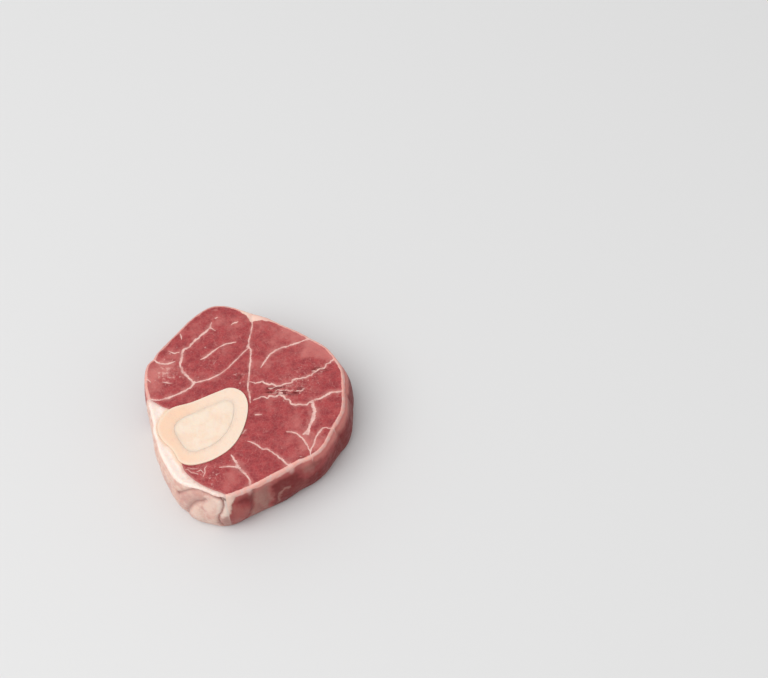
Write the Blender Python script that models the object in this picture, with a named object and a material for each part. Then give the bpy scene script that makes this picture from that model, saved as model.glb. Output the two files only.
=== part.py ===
"""A thick slice of raw beef shank, sawn across the leg.

Muscles surround the shin bone, with marrow in its hollow and a band of fat down one side.
Outlines are in millimetres, seen from above, and BOX_MIDDLE is the middle of the whole in them.
"""

import math

import bpy
import numpy as np
from mathutils import Vector
from mathutils.geometry import delaunay_2d_cdt

MM = 0.001

# Driving dimensions, in mm
THICKNESS = 32.0
BOX_MIDDLE = (-1.8, 0.55)
GAP = 0.3
RIM_DROP = 0.6
SIDE_SWELL = 1.3
SEAM_DEPTH = 0.8
SEAM_WIDTH = 1.3
MUSCLE_SWELL = 0.5
MUSCLE_REACH = 6.0
WAVE_HEIGHT = 0.1
WAVE_REACH = (9.0, 11.0)
MARROW_DISH = 0.4
BONE_BEVEL = 0.6

# Mesh fineness, in mm
OUTLINE_STEP = 2.0
BONE_STEP = 3.0
CURVE_SHARES = 24
FACE_STEP = 4.2
SEAM_STEP = 2.2
SEAM_SIDE = 1.6
CLEAR_OF_RIM = 1.8
CUTTER_OVERSHOOT = 5.0
SHARP_ANGLE = math.radians(50)

# Section of the side wall: how far in from the widest line, and how high
WALL_SECTION = (
    (3.0, 0.0),
    (1.1, 0.7),
    (0.2, 2.6),
    (0.0, 6.0),
    (0.0, 9.5),
    (0.0, 13.0),
    (0.0, 16.5),
    (0.0, 20.0),
    (0.0, 23.5),
    (0.0, 26.8),
    (0.2, 29.4),
    (1.0, 31.1),
    (2.6, THICKNESS - RIM_DROP),
)

# Shares of the height over which the side's relief fades out at the foot and at the rim
FOOT_FADE = 0.25
RIM_FADE = 0.15

# Upper cut face, clockwise from the left
FACE_OUTLINE = (
    (-56.5, 10), (-56.5, 20), (-53.5, 25), (-51.5, 29.5), (-45.5, 38), (-36, 51),
    (-27, 59.3), (-19, 61), (-10.5, 59), (2, 53.5), (18, 46.5), (29, 40.5),
    (40.5, 32.5), (46.5, 24.5), (50, 16.5), (51, 4), (50.8, -8), (46.5, -18.5),
    (42, -29), (36, -35.5), (27.5, -40), (20.5, -44.8), (12, -50), (4, -54.5),
    (-4, -58.3), (-10.5, -58.5), (-19, -55), (-32, -50.5), (-40, -41.5),
    (-46, -30), (-49.5, -17), (-53.5, -4),
)

# The foot of the slice stands out from under the upper face: where, how far, and over what width
FOOT_LEANS = (
    ((52, 12), (5.2, 0), 16),
    ((-22, -55), (0, -5.4), 11),
    ((10, 52), (0.6, 1.4), 22),
    ((-54, 12), (-1.2, 0), 18),
)

# Sawn face of the bone, clockwise from the left, and of the marrow in it
BONE_OUTLINE = (
    (-46, -18), (-44, -11.5), (-39.5, -6.5), (-29.5, -3), (-17.5, 3), (-10, 6),
    (-3.5, 3.5), (0, -3), (0.3, -12), (-2, -22), (-6.5, -30.5), (-15, -37.3),
    (-25, -40.5), (-32, -38.7), (-36.5, -32), (-43.5, -25),
)
MARROW_OUTLINE = (
    (-37, -19), (-34, -13.5), (-26, -9), (-17.5, -4.5), (-10, -2), (-7, -7),
    (-8, -17), (-12.5, -25.5), (-20, -31), (-27.5, -32.5), (-33, -27),
)

# Edge of the fat against the meat and across the bone, then round outside the slice
FAT_REGION = (
    (-66, 1), (-53.5, -1), (-49.5, -2.8), (-45, -5.8), (-41, -7.2), (-37, -9),
    (-30, -18), (-27, -34), (-31.2, -40.3), (-29, -44), (-24.5, -48.6),
    (-19.2, -52.6), (-14, -55), (-9.6, -56.6), (-7.6, -67), (-66, -67),
)

# White seams between the muscles, as sunk lines in the upper face
SEAMS = (
    ((-2, 54), (-1.5, 44), (-2, 33), (-0.5, 28), (-0.5, 15), (-0.7, 7)),
    ((-2.5, 32), (-9, 24), (-15.8, 16), (-25, 11), (-29.7, 10), (-36, 3.5), (-44.5, -0.5)),
    ((-29.7, 10), (-35.5, 15.5), (-38.6, 23), (-37.4, 31), (-31, 38.5), (-24.5, 46)),
    ((-52.5, 24), (-47.5, 21.8), (-42, 23.5)),
    ((-28, 24.7), (-22, 29.3), (-16, 34.3), (-9, 36.5)),
    ((29.5, 38.4), (20, 34), (11, 29), (5.5, 19.6)),
    ((44, 25.6), (36.5, 18), (26, 12), (15, 8), (3, 10)),
    ((48, 4), (38, -0.5), (30, -4.5), (23, -3.5), (16, 1.3), (7, 0)),
    ((34, -2), (35.5, -9), (33, -19), (30.3, -22)),
    ((21.6, -20.6), (28.7, -23), (33, -30)),
    ((45, -18.8), (41, -18.1), (37, -25), (35, -31)),
    ((1.7, -26), (9, -30.4), (16, -33.8), (23.4, -39.7)),
    ((-6.3, -34.4), (-2, -41.5), (3.5, -47.6)),
)

# Creases down the side wall: from, to, depth and width, in mm
SIDE_CREASES = (
    ((-8, -60.5, 31), (-7.5, -62, 3), 2.2, 2.2),
    ((-19, -58, 27), (-30, -53, 10), 1.5, 2.4),
    ((-25, -53, 29), (-38, -46, 22), 1.2, 2.2),
    ((-34, -50, 12), (-44, -36, 6), 1.0, 2.2),
    ((-45, -33, 26), (-48, -24, 12), 0.8, 2.5),
    ((-46, 37, 30), (-45, 38, 2), 1.0, 2.6),
    ((-1, 56, 31), (3, 57, 2), 1.2, 2.6),
    ((44, 30, 30), (47, 31, 2), 0.9, 2.8),
    ((12, -52, 22), (30, -42, 6), 0.7, 3.0),
)

# Swellings of single muscles and fat folds in the side wall: middle, height and reach, in mm
SIDE_SWELLINGS = (
    ((-2, -61, 15), 1.3, 7),
    ((-16, -60, 12), 1.2, 6),
    ((-33, -52, 17), 1.0, 6),
    ((26, -44, 12), 0.8, 9),
    ((55, 4, 14), 0.7, 12),
    ((22, 48, 15), 0.8, 11),
    ((-25, 62, 16), 0.9, 12),
    ((-57, 14, 14), 0.8, 9),
)

# Colour and roughness of each piece
FINISHES = {
    "meat": ((0.42, 0.11, 0.10, 1), 0.35),
    "fat": ((0.80, 0.60, 0.53, 1), 0.45),
    "bone": ((0.90, 0.70, 0.55, 1), 0.60),
    "marrow": ((0.86, 0.72, 0.56, 1), 0.45),
}


def clear_scene():
    for item in list(bpy.data.objects):
        bpy.data.objects.remove(item, do_unlink=True)


def material(name):
    made = bpy.data.materials.new(name)
    made.use_nodes = True
    shader = made.node_tree.nodes["Principled BSDF"]
    colour, roughness = FINISHES[name]
    shader.inputs["Base Color"].default_value = colour
    shader.inputs["Roughness"].default_value = roughness
    shader.inputs["Metallic"].default_value = 0.0
    return made


def smooth_path(points, step, closed=True):
    """A Catmull-Rom curve through the points, read at even steps."""
    points = np.array(points, float)
    if closed:
        knots = np.vstack([points[-1:], points, points[:2]])
    else:
        knots = np.vstack([2 * points[0] - points[1], points, 2 * points[-1] - points[-2]])
    fractions = np.linspace(0, 1, CURVE_SHARES, endpoint=False)[:, None]
    dense = []
    for p0, p1, p2, p3 in zip(knots, knots[1:], knots[2:], knots[3:]):
        linear = (p2 - p0) * fractions
        square = (2 * p0 - 5 * p1 + 4 * p2 - p3) * fractions**2
        cube = (3 * p1 - p0 - 3 * p2 + p3) * fractions**3
        dense.append(p1 + 0.5 * (linear + square + cube))
    dense = np.vstack(dense + [points[:1] if closed else points[-1:]])
    lengths = np.hypot(*np.diff(dense, axis=0).T)
    along = np.concatenate([[0], np.cumsum(lengths)])
    count = max(2, round(along[-1] / step))
    places = np.linspace(0, along[-1], count + 1)
    if closed:
        places = places[:-1]
    return np.column_stack([np.interp(places, along, dense[:, axis]) for axis in (0, 1)])


def outward(ring):
    """Unit normals of a clockwise ring, pointing away from its inside."""
    tangent = np.roll(ring, -1, axis=0) - np.roll(ring, 1, axis=0)
    normal = np.column_stack([-tangent[:, 1], tangent[:, 0]])
    return normal / np.linalg.norm(normal, axis=1, keepdims=True)


def grown(ring, distance):
    return ring + outward(ring) * distance


def foot_of(ring):
    """The outline at the underside, which leans out from the upper one."""
    foot = ring.copy()
    for centre, shift, width in FOOT_LEANS:
        square = ((ring - centre) ** 2).sum(axis=1)
        foot += np.exp(-square / (2 * width**2))[:, None] * np.array(shift, float)
    return foot


def distance_to_path(points, path):
    """Distance of each point to an open path, in two or three dimensions."""
    best = np.full(len(points), np.inf)
    for start, end in zip(path, path[1:]):
        along = end - start
        share = np.clip((points - start) @ along / (along @ along), 0, 1)
        nearest = start + share[:, None] * along
        best = np.minimum(best, np.linalg.norm(points - nearest, axis=1))
    return best


def side_relief(points):
    """How far the side wall stands out at each point, from swellings and creases."""
    relief = np.zeros(len(points))
    for middle, height, reach in SIDE_SWELLINGS:
        apart = np.linalg.norm(points - np.array(middle, float), axis=1)
        relief += height * np.exp(-((apart / reach) ** 2))
    for start, end, depth, width in SIDE_CREASES:
        apart = distance_to_path(points, np.array([start, end], float))
        relief -= depth * np.exp(-((apart / width) ** 2))
    return relief


def wall_rings():
    """Rings of points up the side wall, from the flat underside to the upper face."""
    top = smooth_path(FACE_OUTLINE, OUTLINE_STEP)
    foot = foot_of(top)
    rings = []
    for inset, height in WALL_SECTION:
        share = height / THICKNESS
        ring = foot + (top - foot) * share
        swell = SIDE_SWELL * math.sin(math.pi * share)
        points = np.column_stack([ring, np.full(len(ring), height)])
        relief = side_relief(points) * min(1, share / FOOT_FADE, (1 - share) / RIM_FADE)
        points[:, :2] += outward(ring) * (swell + relief - inset)[:, None]
        rings.append(points)
    return rings


def face_height(points, seam_paths):
    """The upper face: each muscle swells a little, and the seams between them sink."""
    apart = np.min([distance_to_path(points, path) for path in seam_paths], axis=0)
    swell = MUSCLE_SWELL * (1 - np.exp(-((apart / MUSCLE_REACH) ** 2)))
    sunk = SEAM_DEPTH * np.exp(-((apart / SEAM_WIDTH) ** 2))
    wave = WAVE_HEIGHT * np.sin(points[:, 0] / WAVE_REACH[0]) * np.cos(points[:, 1] / WAVE_REACH[1])
    return THICKNESS - RIM_DROP + swell - sunk + wave


def inside(points, ring):
    """Whether each point lies in the ring."""
    within = np.zeros(len(points), bool)
    for (x0, y0), (x1, y1) in zip(ring, np.roll(ring, -1, axis=0)):
        crosses = (y0 > points[:, 1]) != (y1 > points[:, 1])
        if not crosses.any():
            continue
        at = x0 + (points[:, 1] - y0) * (x1 - x0) / (y1 - y0)
        within ^= crosses & (points[:, 0] < at)
    return within


def kept_apart(points, least):
    """Leaves out each point that lies too near an earlier one."""
    kept = []
    for point in points:
        if not kept or np.hypot(*(np.array(kept) - point).T).min() >= least:
            kept.append(point)
    return np.array(kept)


def grid_points(low, high, step):
    """Staggered rows of points over a rectangle."""
    rows = []
    for row, y in enumerate(np.arange(low[1], high[1], step * math.sqrt(0.75))):
        xs = np.arange(low[0] + (row % 2) * step / 2, high[0], step)
        rows.append(np.column_stack([xs, np.full(len(xs), y)]))
    return np.vstack(rows)


def face_points(rim, seam_paths):
    """Points inside the upper face: along the seams, beside them, and in a grid between."""
    beside = []
    for path in seam_paths:
        across = np.gradient(path, axis=0)[:, ::-1] * (-1, 1)
        across *= SEAM_SIDE / np.linalg.norm(across, axis=1, keepdims=True)
        beside += [path + across, path - across]
    near = kept_apart(np.vstack([*seam_paths, *beside]), 0.75 * SEAM_SIDE)
    grid = grid_points(rim.min(axis=0), rim.max(axis=0), FACE_STEP)
    apart = np.min([distance_to_path(grid, path) for path in seam_paths], axis=0)
    points = np.vstack([near, grid[apart > 1.8 * SEAM_SIDE]])
    clear = distance_to_path(points, np.vstack([rim, rim[:1]])) > CLEAR_OF_RIM
    return points[clear & inside(points, rim)]


def mesh_object(name, points, faces):
    """An object from points in mm, moved so that the slice's middle lies on the origin."""
    placed = (np.array(points) - (*BOX_MIDDLE, 0)) * MM
    mesh = bpy.data.meshes.new(name)
    mesh.from_pydata([tuple(point) for point in placed], [], faces)
    mesh.update()
    made = bpy.data.objects.new(name, mesh)
    bpy.context.scene.collection.objects.link(made)
    return made


def whole_slice():
    """The slice as one closed solid, before the bone and the fat are parted from it."""
    rings = wall_rings()
    count = len(rings[0])
    points = list(np.vstack(rings))
    faces = [tuple(range(count))]
    for ring in range(len(rings) - 1):
        base = ring * count
        for i in range(count):
            j = (i + 1) % count
            faces.append((base + i, base + count + i, base + count + j, base + j))
    rim_start = (len(rings) - 1) * count
    rim = rings[-1][:, :2]
    seam_paths = [smooth_path(seam, SEAM_STEP, closed=False) for seam in SEAMS]
    inner = face_points(rim, seam_paths)
    flat = [Vector(point) for point in np.vstack([rim, inner])]
    _, _, triangles, found, _, _ = delaunay_2d_cdt(flat, [], [list(range(count))], 1, 1e-5)
    index = {new: old[0] for new, old in enumerate(found)}
    heights = face_height(inner, seam_paths)
    points += list(np.column_stack([inner, heights]))
    for triangle in triangles:
        faces.append(tuple(rim_start + index[corner] for corner in triangle))
    return mesh_object("slice", points, faces)


def lofted(name, levels):
    """A closed solid through clockwise rings of equal count, from the foot up."""
    count = len(levels[0])
    last = (len(levels) - 1) * count
    faces = [tuple(range(count)), tuple(range(last + count - 1, last - 1, -1))]
    for base in range(0, last, count):
        for i in range(count):
            j = (i + 1) % count
            faces.append((base + i, base + count + i, base + count + j, base + j))
    return mesh_object(name, np.vstack(levels), faces)


def prism(name, ring, low, high):
    """An upright solid of a clockwise outline."""
    levels = [np.column_stack([ring, np.full(len(ring), height)]) for height in (low, high)]
    return lofted(name, levels)


def cut(name, whole, cutter, operation):
    """A new object: the whole after one Boolean with the cutter."""
    modifier = whole.modifiers.new("cut", "BOOLEAN")
    modifier.operation = operation
    modifier.solver = "EXACT"
    modifier.object = cutter
    graph = bpy.context.evaluated_depsgraph_get()
    mesh = bpy.data.meshes.new_from_object(whole.evaluated_get(graph))
    whole.modifiers.remove(modifier)
    made = bpy.data.objects.new(name, mesh)
    bpy.context.scene.collection.objects.link(made)
    return made


def finish(made):
    """Smooth shading with sharp cut edges, and the piece's own material."""
    made.data.name = made.name
    made.data.materials.clear()
    made.data.materials.append(material(made.name))
    made.data.shade_smooth()
    made.data.set_sharp_from_angle(angle=SHARP_ANGLE)


def remove(*helpers):
    for helper in helpers:
        bpy.data.objects.remove(helper, do_unlink=True)


def through_prism(name, ring):
    """A cutter that runs out past both cut faces."""
    return prism(name, ring, -CUTTER_OVERSHOOT, THICKNESS + CUTTER_OVERSHOOT)


def make_bone(bone_ring, marrow_ring):
    """The sawn shin bone, a tube with worn ends, which runs through the slice."""
    outer = prism("bone_outer", bone_ring, 0, THICKNESS)
    hollow = through_prism("bone_hollow", grown(marrow_ring, GAP))
    bone = cut("bone", outer, hollow, "DIFFERENCE")
    remove(outer, hollow)
    bevel = bone.modifiers.new("worn edge", "BEVEL")
    bevel.width = BONE_BEVEL * MM
    bevel.segments = 1
    bevel.limit_method = "ANGLE"
    bevel.angle_limit = math.radians(60)
    finish(bone)


def make_marrow(marrow_ring):
    """The marrow fills the bone, and its upper face is a little hollow."""
    count = len(marrow_ring)
    centre = marrow_ring.mean(axis=0)
    levels = [np.column_stack([marrow_ring, np.zeros(count)])]
    for share in (1, 0.75, 0.5, 0.25):
        height = THICKNESS - MARROW_DISH * (1 - share**2)
        ring = centre + (marrow_ring - centre) * share
        levels.append(np.column_stack([ring, np.full(count, height)]))
    finish(lofted("marrow", levels))


def make_flesh(bone_ring):
    """The meat and the band of fat, parted from the whole slice round the bone."""
    region = np.array(FAT_REGION, float)
    whole = whole_slice()
    hole = through_prism("bone_hole", grown(bone_ring, GAP))
    solid = cut("holed_slice", whole, hole, "DIFFERENCE")
    fat_side = through_prism("fat_side", region)
    meat_side = through_prism("meat_side", grown(region, GAP))
    fat = cut("fat", solid, fat_side, "INTERSECT")
    meat = cut("meat", solid, meat_side, "DIFFERENCE")
    remove(whole, hole, solid, fat_side, meat_side)
    finish(fat)
    finish(meat)


clear_scene()
bone_line = smooth_path(BONE_OUTLINE, BONE_STEP)
marrow_line = smooth_path(MARROW_OUTLINE, BONE_STEP)
make_flesh(bone_line)
make_bone(bone_line, marrow_line)
make_marrow(marrow_line)
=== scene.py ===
"""The looks of a thick slice of raw beef shank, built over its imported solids.

Lengths are in millimetres until mesh_object turns them into metres. Outlines are seen from above, with
the viewer of the photograph at the bottom, and BOX_MIDDLE is the middle of the slice in them.
"""

import math
from typing import NamedTuple

import bmesh
import bpy
import numpy as np
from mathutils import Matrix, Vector
from mathutils.geometry import delaunay_2d_cdt


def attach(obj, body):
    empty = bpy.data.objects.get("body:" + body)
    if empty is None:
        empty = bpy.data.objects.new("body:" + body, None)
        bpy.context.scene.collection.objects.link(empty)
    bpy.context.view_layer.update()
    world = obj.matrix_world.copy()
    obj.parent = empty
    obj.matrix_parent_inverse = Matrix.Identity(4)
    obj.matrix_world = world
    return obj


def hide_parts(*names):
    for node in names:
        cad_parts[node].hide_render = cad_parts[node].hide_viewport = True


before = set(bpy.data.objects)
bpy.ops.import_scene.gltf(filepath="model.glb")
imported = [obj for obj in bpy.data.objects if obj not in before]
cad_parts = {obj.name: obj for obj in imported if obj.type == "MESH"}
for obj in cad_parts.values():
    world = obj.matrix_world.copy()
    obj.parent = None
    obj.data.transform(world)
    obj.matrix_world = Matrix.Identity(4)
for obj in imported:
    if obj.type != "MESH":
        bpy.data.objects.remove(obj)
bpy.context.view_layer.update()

MM = 0.001

# Driving dimensions, the same as the solids'
THICKNESS = 32.0
BOX_MIDDLE = (-1.8, 0.55)
RIM_DROP = 0.6
TOP_HEIGHT = THICKNESS - RIM_DROP
SIDE_SWELL = 1.3
MUSCLE_SWELL = 0.5
MUSCLE_REACH = 6.0
WAVE_HEIGHT = 0.1
WAVE_REACH = (9.0, 11.0)

# Rounding of the upper and lower edges
RIM_RADIUS = 1.2
RIM_HEIGHT = 1.5
RIM_REACH = 2.4
FOOT_RADIUS = 2.4
FOOT_TUCK = 0.9
TUCK_REACH = 4.0
BONE_COVER = 1.0
TURNS = np.linspace(0, math.pi / 2, 7)
CORE_TURNS = np.linspace(0, math.pi / 2, 5)
BONE_ROUNDING = 0.12
MARROW_ROUNDING = 0.06
STRAIGHT_ROWS = 9
STRAIGHT_TOP = THICKNESS - 1.5
FIRST_ROW = 0.02

# Gaps between the pieces, and from their faces up to the top of the solids
FLESH_GAP = 0.06
MARROW_GROWN = 0.1
MARROW_GAP = 0.04
FLESH_SUNK = 0.06
BONE_SUNK = 0.14
MARROW_SUNK = 0.28

# Mesh fineness
CURVE_SAMPLES = 32
WALL_STEP = 0.6
WALL_RISE = 0.62
FACE_STEP = 0.62
UNDERSIDE_STEP = 1.7
SEAM_STEP = 0.45
SEAM_SIDE = 0.5
CREASE_STEP = 0.8
CUT_STEP = 0.6
LEAST_STEP = 0.3
BORDER_GAP = 0.33
GRID_GAP = 0.8
SHARP_ANGLE = 50

# Camera and light: places in metres, the camera's angle below the horizon in degrees
CAMERA_PLACE = (0.0743, -0.30115, 0.5152)
CAMERA_PITCH = 55.0
CAMERA_LENS = 50
CAMERA_SENSOR = 36
NEAREST_SEEN = 0.01
WORLD_STRENGTH = 0.68
KEY_PLACE = (-1.45, -0.8, 2.6)
KEY_SIZE = 3.0
KEY_POWER = 60.0
FLOOR_SIZE = 60
FLOOR_GREY = (0.70, 0.70, 0.70, 1)
FLOOR_ROUGHNESS = 0.6

FACE_OUTLINE = (
    (-56.5, 10), (-56.5, 20), (-53.5, 25), (-51.5, 29.5), (-45.5, 38), (-36, 51),
    (-27, 59.3), (-19, 61), (-10.5, 59), (2, 53.5), (18, 46.5), (29, 40.5),
    (40.5, 32.5), (46.5, 24.5), (50, 16.5), (51, 4), (50.8, -8), (46.5, -18.5),
    (42, -29), (36, -35.5), (27.5, -40), (20.5, -44.8), (12, -50), (4, -54.5),
    (-4, -58.3), (-10.5, -58.5), (-19, -55), (-32, -50.5), (-40, -41.5),
    (-46, -30), (-49.5, -17), (-53.5, -4),
)

# The foot stands out from under the upper face: where, how far, and over what width. The last two lean out
# further than the solids' foot, inside their box
FOOT_LEANS = (
    ((52, 12), (5.2, 0), 16),
    ((-22, -55), (0, -5.4), 11),
    ((10, 52), (0.6, 1.4), 22),
    ((-54, 12), (-1.2, 0), 18),
    ((51, -14), (1.9, -0.5), 8),
    ((20, -44.5), (0.5, -1.2), 9),
)

BONE_OUTLINE = (
    (-46, -18), (-44, -11.5), (-39.5, -6.5), (-29.5, -3), (-17.5, 3), (-10, 6),
    (-3.5, 3.5), (0, -3), (0.3, -12), (-2, -22), (-6.5, -30.5), (-15, -37.3),
    (-25, -40.5), (-32, -38.7), (-36.5, -32), (-43.5, -25),
)
MARROW_OUTLINE = (
    (-37, -19), (-34, -13.5), (-26, -9), (-17.5, -4.5), (-10, -2), (-7, -7),
    (-8, -17), (-12.5, -25.5), (-20, -31), (-27.5, -32.5), (-33, -27),
)

# Where the fat meets the meat on the upper face, each time from the outline to the bone
UPPER_FAT_EDGE = ((-53.5, -1.2), (-49.5, -2.8), (-45, -5.8), (-40.6, -7.4))
LOWER_FAT_EDGE = (
    (-7, -58.5), (-9.6, -56.2), (-14, -54.6), (-19.2, -52), (-24.5, -48.4), (-29, -44), (-31.4, -39.6),
)

# The far notch, where fat shows beyond the muscles on the upper face
NOTCH = (
    (-14, 66), (-9.8, 58.6), (-6.4, 55.2), (-3.8, 52.6), (-2.3, 50.3), (-0.4, 50.4), (4.3, 50.9), (8.9, 50),
    (16.2, 46.6), (19.8, 44.9), (25.3, 41.3), (30, 44), (10, 66),
)


class Seam(NamedTuple):
    """A white line between muscles: its half width, how ragged it is, and its path."""

    half: float
    ragged: float
    path: tuple


SEAMS = (
    Seam(0.42, 0.2, ((-2, 54.5), (-1.3, 48), (-1.6, 43.5), (-2.2, 38), (-2.3, 33.5), (-0.7, 31),
        (-0.6, 26), (-0.5, 20), (-0.6, 14.5), (-0.7, 7), (0.3, 3), (1.5, -3))),
    Seam(0.38, 0.2, ((-2.2, 32.5), (-6, 27.7), (-9, 23.7), (-12.8, 18.7), (-15.8, 15.7), (-20.6, 12.7),
        (-25.3, 10.8), (-29.7, 9.8))),
    Seam(0.5, 0.25, ((-29.7, 9.8), (-32.2, 5.9), (-36, 3.5), (-40, 1.2), (-44.7, -0.7), (-49.8, -1.2),
        (-54, -0.3))),
    Seam(0.72, 0.35, ((-29.7, 9.8), (-33, 12.7), (-35.7, 15.7), (-37.7, 18.7), (-38.6, 23.2),
        (-38.3, 28.2), (-37.4, 31.3), (-35, 32.8), (-33, 36.4), (-29.8, 40), (-26.8, 43.1), (-24.5, 45.9))),
    Seam(0.4, 0.3, ((-24.5, 45.9), (-24.3, 49.4))),
    Seam(0.4, 0.3, ((-24.5, 45.9), (-21.3, 44.2))),
    Seam(0.42, 0.2, ((-54.5, 25.2), (-51, 22.7), (-47.6, 21.8), (-44.4, 22.2), (-41.6, 23.7))),
    Seam(0.35, 0.4, ((-46.1, 30.3), (-43, 29.3), (-40.5, 29.3))),
    Seam(0.32, 0.4, ((-40.8, 42.1), (-40.2, 40), (-39.8, 38.4))),
    Seam(0.38, 0.3, ((-57, 12.9), (-53.3, 10.3))),
    Seam(0.3, 0.4, ((-47.1, 10.1), (-41.6, 9.3))),
    Seam(0.4, 0.3, ((-27.9, 24.7), (-24.7, 26.7), (-22.1, 29.3), (-18.2, 32.8), (-15, 34.9), (-12.1, 35.7),
        (-9.2, 36.4))),
    Seam(0.5, 0.6, ((-13.1, 48.4), (-9.5, 50.5))),
    Seam(0.5, 0.6, ((-22.3, 53), (-21.2, 53.4))),
    Seam(0.52, 0.25, ((30.5, 38.9), (24.2, 35.5), (19.6, 33.8), (14.3, 31.7), (10.8, 28.9), (8.7, 26.1),
        (7.1, 22.9), (5.5, 19.6))),
    Seam(0.42, 0.8, ((46.3, 26.8), (42, 22.3), (39.3, 20.1), (36.2, 18), (33.6, 14.7), (30.6, 13.7),
        (26.1, 12.1), (22.7, 10.5), (19.2, 8.9), (14.8, 7.8), (9.5, 9.3), (5.7, 10), (0, 10))),
    Seam(0.55, 0.3, ((51, 4.6), (45.1, 3.6), (41.7, 2.1), (37.8, -0.5), (33.9, -2.1))),
    Seam(0.5, 0.9, ((33.9, -2.1), (32.2, -3.6), (28.3, -4.7), (24.2, -4.1), (21.5, -1.6), (17.8, 1.6),
        (14.3, 1.1), (10.8, 0.5), (6.4, 0), (3, -1))),
    Seam(0.85, 0.35, ((33.9, -1.8), (35.4, -7), (35.5, -11), (34, -16), (32.4, -20.6), (30.3, -22.1))),
    Seam(0.42, 0.25, ((21.6, -20.6), (25.1, -21.1), (28.7, -23.1), (31.4, -26.5), (33.3, -30),
        (35.3, -35.5))),
    Seam(0.45, 0.3, ((47.3, -17.8), (44, -18.9), (41, -18.1), (38.5, -21.1), (37, -25), (35.3, -29.5),
        (34.5, -33))),
    Seam(0.45, 0.35, ((1.7, -26.1), (5.7, -28), (9.3, -30.5), (12.8, -31.4), (16.3, -33.9), (19.9, -36.8),
        (24.3, -41.5))),
    Seam(0.5, 0.3, ((-6.3, -34.4), (-3.5, -38.8), (-1.8, -41.6), (1.3, -44.9), (3.5, -47.6), (4.8, -51),
        (4.4, -54.4))),
    Seam(0.42, 0.3, ((-11.5, -41.7), (-6.7, -41.3), (-2.5, -41.6))),
    Seam(0.3, 0.5, ((-18.4, -40.8), (-18.8, -43.2), (-19.2, -47))),
    Seam(0.25, 0.7, ((-29.5, -42.3), (-26.5, -43.2), (-24.6, -44.8), (-22.4, -45.2))),
    Seam(0.22, 0.7, ((-27.5, -41.4), (-25, -42.4), (-23.2, -42.2))),
    Seam(0.22, 0.7, ((-23, -43.6), (-21, -43.3), (-19.8, -44.6))),
    Seam(0.3, 0.8, ((13, 4.6), (16, 5.6), (20, 4.8), (24, 5.8))),
    Seam(0.55, 0.6, ((5, -10.3), (8, -10.1))),
    Seam(0.5, 0.6, ((-2.2, -21.5), (0.6, -19.6))),
)

# White knots where seams meet, and how far they reach
KNOTS = (
    ((-2.4, 33.2), 1.0), ((-29.9, 9.6), 1.15), ((-2.3, -41.5), 1.15), ((34.2, -2.5), 1.1),
    ((-24.5, 46), 0.9), ((-2, 53.6), 1.5), ((24.2, -40.6), 1.2), ((32.5, -21.5), 1.3), ((4.4, -53.6), 1.1),
    ((30.3, 38.6), 1.2), ((46, 26.4), 1.1), ((-53.8, 24.8), 0.9),
)

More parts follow.
